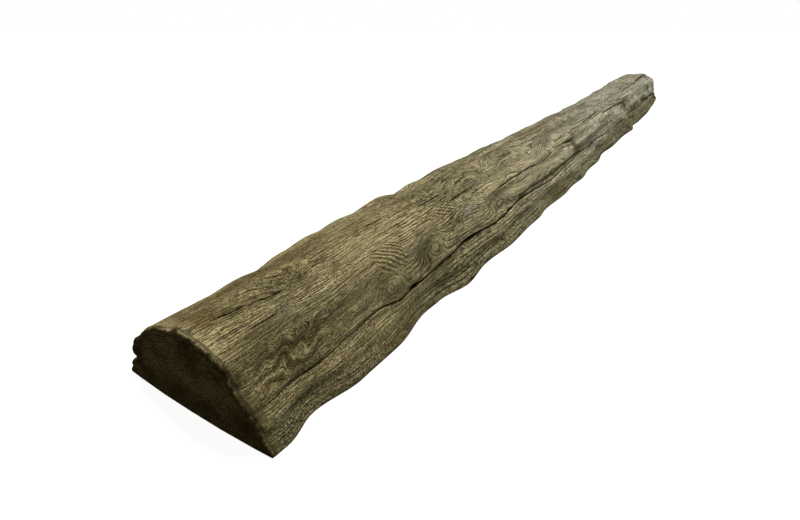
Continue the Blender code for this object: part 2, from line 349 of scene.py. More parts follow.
# Zigzag flames in the grain near the end: pitch, lean and height, and their distance, angle, half
# length and half width in degrees
FLAME_PITCH = 29.0
FLAME_LEAN = 0.6
FLAME_HEIGHT = 8.0
FLAME_PLACE = (84.0, 140.0, 50.0, 9.0)

# Soft lumps of the surface and ridges along the grain, the swell that grows with the distance, and the
# shoulders where that swell is full, as angle and half width
SOFT_LUMPS = [(1.3, 84, 34, 5), (0.8, 34, 17, 6)]
BROAD_RIDGES = [(0.8, 240, 11, 7)]
NARROW_RIDGES = [(0.55, 120, 5, 9)]
NARROW_SHARE = 0.6
NARROW_UNEVENNESS = [(0.4, 90, 14, 8)]
FAR_SWELL = [(7, 170, 48, 31), (4, 80, 24, 32)]
FAR_RIDGES = [(2, 160, 16, 33)]
SWELL_CHANGE = 1000.0
SHOULDERS = [(125.0, 32.0), (38.0, 20.0)]
SHOULDER_SHARE = 0.65
FOOT_FADE = 4.0

# Grid of the surface
ROWS = 560
NEAR_ROW_SHARE = 0.68
COLUMN_STEPS = 128
COLUMN_GAP = 0.6
CRACK_COLUMNS = [-2.2, -1.1, -0.5, 0.0, 0.5, 1.1, 2.2]
SAWN_COLUMNS = [-1.0, -0.96, -0.8, -0.4, 0.0, 0.4, 0.8, 0.96, 1.0]
END_RINGS = 18
RING_CROWDING = 1.5
RIM_TURNS = [20.0, 42.0, 66.0]
RIM_SPACING = 2.2

# The saw's roughness on the ends, and the chips out of their rims, over angle and reach from the pith
SAW_ROUGHNESS = [(0.9, 14, 9, 11), (0.5, 5, 4, 12)]
ROUGH_HEIGHT = 14.0
ROUGH_REACH = 60.0
RIM_CHIPS = [(1, 6, 7, 14), (0.6, 2.6, 3.5, 15)]
RIM_REACH = 9
RIM_LENGTH = 18.0
RIM_BITE = 4.0
RIM_SHRINK = 0.6
RING_WAVES = [(2.5, 30, 20, 13)]
HOLLOW_DEPTH = 7.0
SHARP_ANGLE = 62.0

# Patches of colour the weather has left, with their strength, below zero where the colour is missing. The
# patches of painted shade are no colour of the wood, the pale grey plates are partly painted sheen and
# glints, and one brown patch is a painted shadow.
STRAW_PATCHES = [
    (8, 97, 12, 60, 0.3), (60, 108, 60, 12, 0.3), (122, 119, 60, 10, 0.7), (175, 130, 45, 8, 0.7),
    (185, 107, 80, 15, 0.8), (600, 108, 90, 12, 0.5), (290, 109, 110, 10, 1), (320, 112, 60, 8, 0.8),
    (146, 164, 70, 7, 0.8), (250, 167, 60, 6, 0.6), (473, 95, 60, 10, 0.6), (530, 122, 50, 8, 0.5),
    (633, 84, 60, 12, 0.3), (857, 161, 60, 6, 0.6), (760, 110, 90, 10, 0.3), (1090, 128, 90, 9, 0.5),
    (180, 60, 90, 14, 0.7), (520, 40, 110, 12, 0.8), (980, 60, 110, 12, 0.6), (1500, 45, 130, 12, 0.6),
    (2200, 60, 130, 14, 0.5),
]
# Brown patches; the one at 1205 mm and 152 degrees is a painted shadow at the foot of the first flake's step
BROWN_AND_SHADOW_PATCHES = [
    (28, 93, 16, 12, 0.9), (43, 134, 14, 9, 0.4), (80, 144, 56, 20, 0.6), (20, 95, 22, 26, 0.6),
    (165, 143, 60, 12, 0.4), (236, 175, 60, 8, 0.8), (383, 97, 50, 11, 0.6), (300, 155, 60, 7, 0.4),
    (560, 171, 90, 8, 0.5), (955, 175, 40, 8, 0.8), (1205, 152, 16, 10, 1), (830, 100, 60, 12, 0.5),
    (940, 112, 40, 9, 0.5), (1130, 120, 60, 9, 0.6), (1500, 160, 80, 10, 0.3), (2080, 165, 80, 10, 0.7),
    (2500, 150, 90, 12, 0.6), (120, 30, 60, 14, 0.8), (420, 20, 60, 12, 0.8), (800, 40, 90, 14, 0.7),
    (1350, 24, 90, 12, 0.8), (1900, 40, 110, 14, 0.7), (2600, 30, 110, 14, 0.7),
]
# Painted shade: soft dark patches on the crown, on both flanks and along the -Y foot, where less light falls
PAINTED_SHADE_PATCHES = [
    (140, 77, 90, 18, 0.6), (290, 92, 70, 16, 0.7), (430, 92, 80, 15, 0.6), (610, 92, 110, 15, 0.6),
    (1100, 91, 170, 16, 0.7), (1450, 88, 150, 20, 0.6), (2700, 84, 190, 24, 0.6), (95, 177, 46, 12, 0.6),
    (290, 177, 70, 14, 0.8), (430, 177, 60, 12, 0.4), (1450, 176, 160, 16, 0.5), (1850, 177, 200, 16, 0.7),
    (2300, 177, 220, 16, 0.7), (2800, 177, 150, 14, 0.6), (658, 145, 40, 12, 0.5), (1075, 84, 110, 14, 0.7),
    (1250, 82, 80, 12, 0.5), (906, 174, 50, 12, 0.8), (1130, 122, 70, 12, 0.4), (1235, 147, 40, 12, 0.5),
    (1780, 155, 150, 16, 0.9), (2180, 150, 90, 14, 0.6), (2480, 148, 80, 14, 0.6), (1330, 110, 100, 12, 0.4),
    (345, 160, 60, 9, 0.5), (2300, 96, 110, 13, 0.5), (700, 30, 60, 14, 0.7), (1200, 60, 80, 14, 0.6),
    (1900, 24, 100, 14, 0.6), (2500, 60, 110, 14, 0.6), (30, 93, 30, 22, 0.5), (40, 128, 24, 14, 0.4),
    (75, 122, 60, 14, 0.85), (430, 151, 60, 10, 0.5), (75, 100, 60, 18, 0.5), (36, 153, 30, 12, 0.4),
    (180, 166, 50, 9, 0.5), (190, 77, 130, 14, 0.5),
]
RUST_PATCHES = [
    (16, 90, 12, 22, 0.9), (34, 99, 16, 8, 0.5), (84, 140, 40, 14, 0.35), (170, 141, 40, 9, 0.3),
    (1240, 150, 24, 8, 0.4), (1950, 170, 60, 8, 0.5), (2480, 158, 60, 8, 0.4), (250, 20, 40, 9, 0.6),
    (1650, 28, 70, 10, 0.6),
]
# Pale grey plates of weathered wood, partly painted sheen; the small bright patches on the far plates are
# painted glints
BLEACHED_AND_SHEEN_PATCHES = [
    (530, 133, 50, 17, 0.5), (1220, 122, 200, 12, 0.35), (1800, 122, 150, 12, 0.4),
    (2740, 107, 150, 12, 0.7), (2740, 144, 150, 20, 0.75), (1880, 137, 130, 17, 1.1),
    (1400, 137, 190, 15, 0.5), (2075, 110, 40, 8, 0.8), (1694, 131, 40, 8, 0.6), (2250, 128, 60, 12, 0.7),
    (2440, 112, 50, 10, 0.7), (1520, 140, 50, 7, 0.5), (2700, 126, 60, 12, 0.6), (1300, 30, 60, 8, 0.6),
    (2100, 60, 60, 10, 0.7), (2500, 76, 60, 10, 0.7),
]
GREEN_PATCHES = [
    (420, 170, 90, 18, 0.7), (300, 173, 60, 12, 0.6), (30, 173, 40, 9, 0.8), (135, 124, 26, 8, 0.6),
    (920, 174, 70, 14, 0.3), (820, 167, 120, 14, -0.5), (1240, 160, 240, 24, -1.6), (310, 20, 120, 18, 0.7),
    (900, 12, 160, 16, 0.8), (1600, 14, 220, 18, 0.8), (2400, 12, 260, 18, 0.8),
]
GREY_PATCHES = [
    (76, 122, 26, 10, 0.8), (99, 118, 20, 8, 0.7), (155, 124, 26, 8, 0.6), (348, 135, 30, 10, 0.7),
    (531, 134, 34, 13, 0.6), (1395, 110, 140, 16, 0.9), (1800, 137, 230, 18, 1), (2240, 100, 120, 16, 0.8),
    (2600, 120, 160, 20, 0.8), (960, 84, 110, 14, 0.7), (700, 140, 60, 10, 0.6), (300, 60, 80, 16, 0.7),
    (700, 30, 90, 14, 0.8), (1150, 44, 90, 14, 0.8), (1700, 30, 140, 16, 0.8), (2350, 44, 160, 18, 0.8),
]


def ease(share):
    """Smooth step from 0 to 1."""
    share = np.clip(share, 0.0, 1.0)
    return share * share * (3.0 - 2.0 * share)


def wave(place, stations):
    """Eased curve through pairs of place and value, level at each of them."""
    places, values = np.array(stations, float).T
    i = np.clip(np.searchsorted(places, place, side="right") - 1, 0, len(places) - 2)
    share = ease((place - places[i]) / (places[i + 1] - places[i]))
    return values[i] + (values[i + 1] - values[i]) * share


def lumps(along, across, length, width, seed):
    """Smooth noise from -1 to 1: random heights on a lattice of that pitch, eased between points."""
    size = 512
    heights = np.random.default_rng(seed).uniform(-1.0, 1.0, (size, size))
    i = np.floor(along / length).astype(int)
    j = np.floor(across / width).astype(int)
    share_i = ease(along / length - i)
    share_j = ease(across / width - j)
    low = heights[i % size, j % size] * (1.0 - share_j) + heights[i % size, (j + 1) % size] * share_j
    high = heights[(i + 1) % size, j % size] * (1.0 - share_j)
    high = high + heights[(i + 1) % size, (j + 1) % size] * share_j
    return low * (1.0 - share_i) + high * share_i


def lumpy(layers, along, across):
    """Sum of layers of lumps, each given as height, length, width and seed."""
    return sum(height * lumps(along, across, *layer) for height, *layer in layers)


def bump(distance, angle, middle, middle_angle, half_length, half_width):
    """A Gaussian of height 1 in distance and angle."""
    return np.exp(-(((distance - middle) / half_length) ** 2) - ((angle - middle_angle) / half_width) ** 2)


def patches(places, distance, angle):
    """Sum of soft patches, each a Gaussian about its place."""
    total = 0.0
    for middle, middle_angle, half_length, half_width, strength in places:
        half_angle = np.degrees(half_width / MEAN_RADIUS)
        total = total + strength * bump(distance, angle, middle, middle_angle, half_length, half_angle)
    return total


def outline(distance, angle):
    """Radius of the log: its end's outline, the swell eased from rail to rail, knots and flakes."""
    radius = wave(angle, SECTION) + wave(distance, RAILS[0][1])
    for (angle_before, before), (angle_after, after) in zip(RAILS, RAILS[1:]):
        share = ease((angle - angle_before) / (angle_after - angle_before))
        radius = radius + (wave(distance, after) - wave(distance, before)) * share
    for *knot, height in KNOTS:
        radius = radius + height * bump(distance, angle, *knot)
    for step, slope, lowest, highest, height in FLAKES:
        past = distance - step
        along = ease(past / STEP_LENGTH) * np.clip(1.0 - past / slope, 0.0, 1.0)
        across = ease((angle - lowest) / FLAKE_EDGE) * ease((highest - angle) / FLAKE_EDGE)
        radius = radius + height * along * across
    return radius


def crack_pulls(distance, angle):
    """How far each column is pulled aside, in degrees, so that one column lies in each crack."""
    pull = 0.0
    for crack in CRACKS:
        near = ease(1.0 - np.abs(angle - crack["column"]) / CRACK_PULL)
        pull = pull + near * (wave(distance, crack["line"]) - crack["column"])
    return pull


def crack_depths(distance, column, radius):
    """Depth of the cracks: steep-sided grooves about their columns, wider where deep and far off."""
    total = 0.0
    start, growth, most = CRACK_WIDENING
    for seed, crack in enumerate(CRACKS, CRACK_SEED):
        depth = wave(distance, crack["depth"])
        deep = np.clip(depth / CRACK_FULL_DEPTH, 0.0, 1.0)
        half_width = crack["half_width"] * (1.0 + lumpy([(*CRACK_UNEVENNESS, seed)], distance, column))
        half_width = half_width * (CRACK_SHALLOW_WIDTH + (1.0 - CRACK_SHALLOW_WIDTH) * deep)
        half_width = half_width * np.clip(start + growth * distance, 0.0, most)
        off_line = np.radians(np.abs(column - crack["column"])) * radius
        groove = np.clip(1.0 - off_line / half_width, 0.0, 1.0) ** CRACK_STEEPNESS
        total = total + depth * groove
    return total


def grain_lines(distance, column):
    """Height of the grain field in millimetres, whose contours are the grain lines.

    It rises evenly round the log, wanders in long soft waves, winds in the figured regions, and has a
    hill or a pit at each swirl, so that the contours close round it. Near the end a wave that rises and
    falls in straight slopes folds them into zigzag flames.
    """
    around = np.radians(column) * MEAN_RADIUS
    field = around + lumpy(GRAIN_WAVES, distance, around)
    near_winding = lumpy(NEAR_WINDING, distance, around)
    far_winding = lumpy(FAR_WINDING, distance, around)
    change = ease((distance - FAR_FROM) / WINDING_CHANGE)
    winding = near_winding + (far_winding - near_winding) * change
    field = field + winding * np.clip(patches(FIGURED, distance, column), 0.0, 1.0)
    field = field + patches(SWIRLS, distance, column)
    flames = 4.0 * np.abs((distance + FLAME_LEAN * around) / FLAME_PITCH % 1.0 - 0.5) - 1.0
    return field + FLAME_HEIGHT * flames * bump(distance, column, *FLAME_PLACE)


def marks(distance, column):
    """Strength of the dark marks and painted shadow lines: for each, a Gaussian of the distance to its line.
    """
    around = np.radians(column) * MEAN_RADIUS
    total = np.zeros_like(distance + around)
    for half_width, strength, line in MARKS_AND_SHADOW_LINES:
        for (start, start_angle), (end, end_angle) in zip(line, line[1:]):
            low, high = np.radians([start_angle, end_angle]) * MEAN_RADIUS
            run, rise = end - start, high - low
            share = ((distance - start) * run + (around - low) * rise) / (run * run + rise * rise)
            share = np.clip(share, 0.0, 1.0)
            off = np.hypot(distance - start - share * run, around - low - share * rise)
            total = np.maximum(total, strength * np.exp(-((off / half_width) ** 2)))
    return total


def relief(distance, column, field):
    """Fine relief in millimetres: soft lumps, broad ridges and narrow ridges that follow the grain."""
    around = np.radians(column) * MEAN_RADIUS
    soft = lumpy(SOFT_LUMPS, distance, around)
    broad = lumpy(BROAD_RIDGES, distance, field)
    uneven = NARROW_SHARE + lumpy(NARROW_UNEVENNESS, distance, field)
    narrow = uneven * lumpy(NARROW_RIDGES, distance, field)
    swell = lumpy(FAR_SWELL, distance, around) + lumpy(FAR_RIDGES, distance, field)
    swell = swell * ease((distance - FAR_FROM) / SWELL_CHANGE)
    shoulders = [np.exp(-(((column - angle) / half_width) ** 2)) for angle, half_width in SHOULDERS]
    full = 1.0 - SHOULDER_SHARE + SHOULDER_SHARE * np.maximum(*shoulders)
    return soft + broad + narrow + swell * full


def round_columns():
    """Angles of the columns round the log, close together at each crack."""
    even = np.linspace(0.0, 180.0, COLUMN_STEPS + 1)
    close = np.ravel([crack["column"] + np.array(CRACK_COLUMNS) for crack in CRACKS])
    far_from_cracks = np.abs(even[:, None] - close).min(axis=1) > COLUMN_GAP
    return np.sort(np.append(even[far_from_cracks], close))


def sections(distance, column):
    """Whole sections: Y, Z, grain field and hollow depth, round face first, then the sawn face."""
    angle = np.clip(column + crack_pulls(distance, column), 0.0, 180.0)
    radius = outline(distance, angle)
    depth = crack_depths(distance, column, radius)
    field = grain_lines(distance, column)
    fine = relief(distance, column, field)
    radius = radius + fine * np.clip(np.minimum(angle, 180.0 - angle) / FOOT_FADE, 0.0, 1.0) - depth
    y = radius * np.cos(np.radians(angle))
    z = radius * np.sin(np.radians(angle))
    z = z + FOOT_EDGE * np.clip(1.0 - z / (3.0 * FOOT_EDGE), 0.0, 1.0)
    middle = (y[:, :1] + y[:, -1:]) / 2.0
    half_width = (y[:, :1] - y[:, -1:]) / 2.0 - FOOT_EDGE
    sawn_y = middle + half_width * np.array(SAWN_COLUMNS)
    flat = np.zeros_like(sawn_y)
    whole_y, whole_z = np.hstack([y, sawn_y]), np.hstack([z, flat])
    return whole_y, whole_z, np.hstack([field, sawn_y]), np.hstack([depth, flat])


def end_rows(end, inward, wear):
    """Rows of one end from its middle outwards: place, distance of its section, inset, share."""
    section = end + inward * wear
    ring_shares = 1.0 - (1.0 - np.linspace(0.0, 1.0, END_RINGS + 1)[1:]) ** RING_CROWDING
    rows = [(end, section, wear, share) for share in ring_shares]
    for turn in np.radians(RIM_TURNS):
        back = wear * (1.0 - np.cos(turn))
        inset = wear * (1.0 - np.sin(turn))
        rows.append((end + inward * back, section, inset, 1.0))
    return rows


def long_rows():
    """Distances of the rows between the worn ends, closer together towards the near end."""
    share = np.linspace(0.0, 1.0, ROWS)
    share = NEAR_ROW_SHARE * share + (1.0 - NEAR_ROW_SHARE) * share**2
    even = NEAR_END_WEAR + (LENGTH - NEAR_END_WEAR - FAR_END_WEAR) * share
    close = np.arange(even[0] + RIM_SPACING, even[0] + RIM_LENGTH, RIM_SPACING)
    return np.sort(np.append(even[(even <= even[0]) | (even > close[-1])], close))


columns = round_columns()
near_rows = end_rows(0.0, 1.0, NEAR_END_WEAR)
far_rows = end_rows(LENGTH, -1.0, FAR_END_WEAR)
rows = near_rows + [(distance, distance, 0.0, 1.0) for distance in long_rows()] + far_rows[::-1]
place, section, inset, share = np.array(rows).T[:, :, None]
y, z, field, depth = sections(section, columns[None, :])
worn = inset * np.clip(z / WEAR_HEIGHT, SAWN_EDGE_WEAR, 1.0)
scale = share * (1.0 - worn / np.hypot(y, z - PITH_HEIGHT))
y = y * scale
z = PITH_HEIGHT + (z - PITH_HEIGHT) * scale

# The near end bulges a little about its middle, and each end is rough from the saw, less so at its foot
# and round the pith.
bulge = END_BULGE * (1.0 - (y / SECTION[0][1]) ** 2) * ease(1.0 - place / END_BULGE_LENGTH)
turn = np.degrees(np.arctan2(z - PITH_HEIGHT, y))
reach = np.hypot(y, z - PITH_HEIGHT)
on_end = inset > 0.0
outwards = np.where(place < LENGTH / 2.0, -1.0, 1.0)
rough = lumpy(SAW_ROUGHNESS, turn, reach) * np.clip(z / ROUGH_HEIGHT, 0.1, 1.0)
x = place - bulge + np.where(on_end, outwards * rough * np.clip(reach / ROUGH_REACH, 0.2, 1.0), 0.0)

# The rim of each end has crumbled: chips have come out of its corner, and fade along the log.
from_end = np.minimum(place, LENGTH - place)
rim_weight = np.where(share < 1.0, share**RIM_REACH, 1.0 - ease(from_end / RIM_LENGTH))
over_rim = reach + np.where(share < 1.0, 0.0, from_end)
chips = sum(size * np.clip(lumps(turn, over_rim, *layer), 0.0, 1.0) for size, *layer in RIM_CHIPS)
bite = RIM_BITE * rim_weight * chips * np.clip(z / WEAR_HEIGHT, 0.0, 1.0)
x = x - outwards * bite
shrunk = 1.0 - RIM_SHRINK * bite / reach
y = y * shrunk
z = PITH_HEIGHT + (z - PITH_HEIGHT) * shrunk

points = np.stack([x, y, z], axis=-1) * MM
# The footprint's middle is the frame's origin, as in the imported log.
points[:, :, 0] -= (LENGTH - END_BULGE) * MM / 2.0
points[:, :, 1] -= (points[:, :, 1].max() + points[:, :, 1].min()) / 2.0

ring_count, column_count = points.shape[:2]
poles = points[[0, -1]].mean(axis=1)
corners = np.concatenate([points.reshape(-1, 3), poles])
near_pole = ring_count * column_count
far_pole = near_pole + 1

# Quads between the rows, and a fan of triangles at each pole
i, j = np.meshgrid(np.arange(ring_count - 1), np.arange(column_count), indexing="ij")
next_j = (j + 1) % column_count
quads = np.stack([i, i, i + 1, i + 1], axis=-1) * column_count + np.stack([j, next_j, next_j, j], axis=-1)
quads = quads.reshape(-1, 4)
around = np.arange(column_count)
after = (around + 1) % column_count
near_fan = np.stack([np.full(column_count, near_pole), around, after], axis=-1)
last_row = (ring_count - 1) * column_count
far_fan = np.stack([np.full(column_count, far_pole), last_row + after, last_row + around], axis=-1)

log_mesh = bpy.data.meshes.new("log")
log_mesh.from_pydata(corners.tolist(), [], quads.tolist() + near_fan.tolist() + far_fan.tolist())

# Each face's place in the baked pictures: the round face in two strips, one for each half of the length,
# above them the sawn face in one narrow strip, and at the top the two ends side by side
BAKE_STRIPS = (0.005, 0.410)
BAKE_STRIP_WIDTH = 0.395
BAKE_SAWN = 0.820
BAKE_SAWN_WIDTH = 0.075
BAKE_ENDS = (0.02, 0.22)
BAKE_END_FOOT = 0.91
BAKE_END_SCALE = 0.60
round_count = len(columns)
end_face = (i < END_RINGS - 1) | (i >= ring_count - END_RINGS)
sawn = (j >= round_count) & ~end_face
past_middle = place[i, 0] >= LENGTH / 2.0
corner_i = np.stack([i, i, i + 1, i + 1], axis=-1)
corner_j = np.stack([j, j + 1, j + 1, j], axis=-1)
along_share = place[corner_i, 0] / LENGTH
strip_u = 2.0 * along_share - np.where(past_middle, 1.0, 0.0)[..., None]
strip_v = BAKE_STRIP_WIDTH * corner_j / round_count + np.where(past_middle, *BAKE_STRIPS[::-1])[..., None]
sawn_v = BAKE_SAWN + BAKE_SAWN_WIDTH * (corner_j - round_count) / len(SAWN_COLUMNS)
bake_u = 0.005 + 0.985 * np.where(sawn[..., None], along_share, strip_u)
bake_v = np.where(sawn[..., None], sawn_v, strip_v)
end_u = np.where(corners[:, 0] < 0.0, *BAKE_ENDS) + BAKE_END_SCALE * (corners[:, 1] - corners[:, 1].min())
end_v = BAKE_END_FOOT + BAKE_END_SCALE * corners[:, 2]
grid_corners = corner_i * column_count + corner_j % column_count
bake_u = np.where(end_face[..., None], end_u[grid_corners], bake_u)
bake_v = np.where(end_face[..., None], end_v[grid_corners], bake_v)
fans = np.concatenate([near_fan, far_fan]).ravel()
bake = np.stack([np.append(bake_u, end_u[fans]), np.append(bake_v, end_v[fans])], axis=-1)
log_mesh.uv_layers.new(name="OFBake").data.foreach_set("uv", bake.ravel().astype(np.float32))
log = bpy.data.objects.new("log", log_mesh)
scene.collection.objects.link(log)
log_mesh.shade_smooth()
log_mesh.set_sharp_from_angle(angle=math.radians(SHARP_ANGLE))


def store(name, grid):
    """Put one number per point on the mesh, 0 at the poles, for the materials to read."""
    numbers = np.append(np.ravel(grid + np.zeros_like(y)), [0.0, 0.0]).astype(np.float32)
    log_mesh.attributes.new(name, "FLOAT", "POINT").data.foreach_set("value", numbers)


# On the ends the grain is the reach from the pith, a little uneven. No patch reaches the underside.
UNDER_COLUMN = 360.0
store("grain", np.where(on_end, reach + lumpy(RING_WAVES, turn, reach), field))
all_columns = np.append(columns, np.full(len(SAWN_COLUMNS), UNDER_COLUMN))[None, :]
patch_tables = {
    "straw": STRAW_PATCHES, "brown": BROWN_AND_SHADOW_PATCHES, "grey": GREY_PATCHES, "rust": RUST_PATCHES,
    "bleached_and_sheen": BLEACHED_AND_SHEEN_PATCHES, "painted_shade": PAINTED_SHADE_PATCHES, "green": GREEN_PATCHES,
    "banded": BANDED_PATCHES, "ripple": RIPPLES, "deep": DEEP_LINES,
}
for name, table in patch_tables.items():
    store(name, patches(table, place, all_columns))
# Dark marks and painted shadow lines
store("mark", marks(place, all_columns))
wear = np.where(place < LENGTH / 2.0, NEAR_END_WEAR, FAR_END_WEAR)
store("rim", np.where(on_end, inset / wear, -np.clip((from_end - wear) / RIM_LENGTH, 0.0, 1.0)))
# Depth of the cracks, darkened with dirt and painted shade
store("hollow", np.clip(depth / HOLLOW_DEPTH, 0.0, 1.0))
store("around", np.append(np.radians(columns) * MEAN_RADIUS, SAWN_COLUMNS)[None, :])
store("along", place)


class Strand:
    """One output of a shader node. Arithmetic on it adds Math nodes."""

    def __init__(self, finish, socket):
        self.finish = finish
        self.socket = socket

    def maths(self, operation, *others):
        """A Math node of that operation, with this output first."""
        values = dict(enumerate((self,) + others))
        return self.finish.node("ShaderNodeMath", {"operation": operation}, values)

    def __add__(self, other):
        return self.maths("ADD", other)

    def __mul__(self, other):
        return self.maths("MULTIPLY", other)

    def __sub__(self, other):
        return self.maths("SUBTRACT", other)

    def __rsub__(self, other):
        return self.finish.node("ShaderNodeMath", {"operation": "SUBTRACT"}, {0: other, 1: self})

    def __truediv__(self, other):
        return self.maths("DIVIDE", other)

    def __pow__(self, other):
        return self.maths("POWER", other)

    __radd__ = __add__
    __rmul__ = __mul__

    def smooth(self, low, high):
        """A smooth step from 0 at low to 1 at high, which may be the lower of the two."""
        settings = {"interpolation_type": "SMOOTHSTEP"}
        sockets = {"Value": self, "From Min": low, "From Max": high}
        return self.finish.node("ShaderNodeMapRange", settings, sockets)


class Finish:
    """A material whose nodes are added one by one."""

    def __init__(self, name, roughness, gloss):
        self.material = bpy.data.materials.new(name)
        self.material.use_nodes = True
        self.tree = self.material.node_tree
        self.shader = self.tree.nodes["Principled BSDF"]
        self.shader.inputs["Roughness"].default_value = roughness
        self.shader.inputs["Specular IOR Level"].default_value = gloss

    def node(self, kind, settings, sockets, output=0):
        """Any node: its settings first, then its sockets' values or links. Gives one output."""
        made = self.tree.nodes.new(kind)
        for setting, value in settings.items():
            setattr(made, setting, value)
        for socket, value in sockets.items():
            self.feed(made.inputs[socket], value)
        return Strand(self, made.outputs[output])

    def feed(self, socket, value):
        """Link a strand to a socket, or set the socket's own value."""
        if isinstance(value, Strand):
            self.tree.links.new(value.socket, socket)
        else:
            socket.default_value = value

    def attribute(self, name):
        """A number stored on the mesh."""
        return self.node("ShaderNodeAttribute", {"attribute_name": name}, {}, "Fac")

    def noise(self, across, along, seed, detail=2.0, roughness=0.5):
        """Noise from 0 to 1 over two numbers, each divided by its pitch in mm, in a layer of its own."""
        layer = self.node("ShaderNodeCombineXYZ", {}, {0: across, 1: along, 2: 7.3 * seed})
        sockets = {"Vector": layer, "Scale": 1.0, "Detail": detail, "Roughness": roughness}
        return self.node("ShaderNodeTexNoise", {}, sockets, "Fac")

    def grit(self, place, scale, detail):
        """Noise from 0 to 1 in space, with that many grains to the metre."""
        sockets = {"Vector": place, "Scale": scale, "Detail": detail}
        return self.node("ShaderNodeTexNoise", {}, sockets, "Fac")

    def rings(self, field, width, sharpness):
        """Lines on a field's contours, that width apart: 1 on a line, 0 between, thin if sharp."""
        return ((field * (2.0 * math.pi / width)).maths("SINE") * 0.5 + 0.5) ** sharpness

    def mix(self, share, first, second, blend="MIX"):
        """A colour between two colours."""
        settings = {"data_type": "RGBA", "blend_type": blend}
        return self.node("ShaderNodeMix", settings, {0: share, 6: first, 7: second}, 2)

    def coats(self, colour, coats):
        """That colour under coats of others, each given as its share and its colour."""
        for share, coat in coats:
            colour = self.mix(share, colour, coat)
        return colour

    def surface(self, colour, roughness, height):
        """Link the colour, the roughness and a height in millimetres to the shader."""
        self.feed(self.shader.inputs["Base Color"], colour)
        self.feed(self.shader.inputs["Roughness"], roughness)
        normal = self.node("ShaderNodeBump", {}, {"Strength": 1.0, "Distance": MM, "Height": height})
        self.feed(self.shader.inputs["Normal"], normal)


# The weathered face
# Rain and sun have worn the soft grain out from between the hard. The hard grain is a pale straw, the worn
# valleys a dark brown deepened with painted shade, and towards the far end the whole is painted paler and
# greyer as painted sheen and light.
RING_WIDTHS = [3.2, 5.4, 8.8, 14.0]
RING_REACH = [(170, 380), (720, 1050), (1500, 2200)]
BAND_WIDTH = 17.0
RIPPLE_WIDTH = 7.4
RIPPLE_SLANT = 0.72
# Where along the log the wood is painted paler and greyer as sheen and light, its grain coarsens and blurs,
# and it counts as far off
SHEEN_GREYING = (-240, 2100)
COARSENING = (300, 1500)
BLURRING = (350, 1000)
FAR_OFF = (800, 1700)
# Dark brown of the worn valleys, low fibres, splits, ripple lines and pits, partly painted shade of their
# depth
VALLEY_DARK_AND_SHADE = (0.027, 0.019, 0.008, 1.0)
OLIVE = (0.217, 0.178, 0.079, 1.0)
PALE_OLIVE = (0.325, 0.274, 0.132, 1.0)
STRAW = (0.385, 0.320, 0.165, 1.0)
# Brown of the wood, also laid on as painted shade in the hollows of the far lumps and as a painted shadow at
# a flake's step
BROWN_AND_SHADE = (0.098, 0.069, 0.026, 1.0)
GREY = (0.170, 0.164, 0.106, 1.0)
# Paler grey towards the far end: painted sheen and light
FAR_SHEEN_GREY = (0.330, 0.315, 0.240, 1.0)
FLANK_GREEN = (0.128, 0.118, 0.062, 1.0)
RIM_BROWN = (0.085, 0.064, 0.025, 1.0)
# Dark of the marks, and of the painted shadows along the plates' steps and edges
MARK_AND_SHADOW_DARK = (0.040, 0.032, 0.015, 1.0)
RUST = (0.120, 0.068, 0.024, 1.0)
BAND_BROWN = (0.080, 0.056, 0.019, 1.0)
# Colour of the painted shade
PAINTED_SHADE_BROWN = (0.060, 0.045, 0.018, 1.0)
RIM_DARK = (0.031, 0.023, 0.008, 1.0)
# Pale grey of sun-paled wood, partly painted sheen and painted glints
BLEACHED_AND_SHEEN = (0.530, 0.508, 0.412, 1.0)
# Near black in the cracks: dirt and painted shade, the deeper the darker
CRACK_SHADE_AND_DIRT = (0.012, 0.008, 0.003, 1.0)

# Broad changes of tone, painted light and shade where more or less light falls: darker at the near end,
# across the crown and down the -Y flank and its near foot, lighter a little way in from the near end, on
# the -Y shoulder and in the middle of the far end. How much lighter, and the steps along and round the
# log, in millimetres, whose product says where
TONE = 1.04
LIGHT_AND_SHADE_TONES = [
    (-0.10, [(280, 60)], []),
    (0.16, [(150, 260), (480, 360)], []),
    (-0.15, [(380, 560)], [(90, 150), (240, 195)]),
    (-0.12, [(900, 1600)], [(90, 150), (240, 195)]),
    (-0.06, [(1700, 800)], [(262, 300)]),
    (-0.18, [(30, 80), (900, 550)], [(152, 174), (206, 188)]),
    (0.24, [(430, 640), (1800, 1500)], [(222, 250), (296, 276)]),
    (0.34, [(430, 640), (620, 800), (1800, 1500)], [(222, 250), (296, 276)]),
    (0.18, [(2350, 2600)], [(190, 215), (318, 295)]),
    (-0.14, [(700, 400)], [(325, 343)]),
]


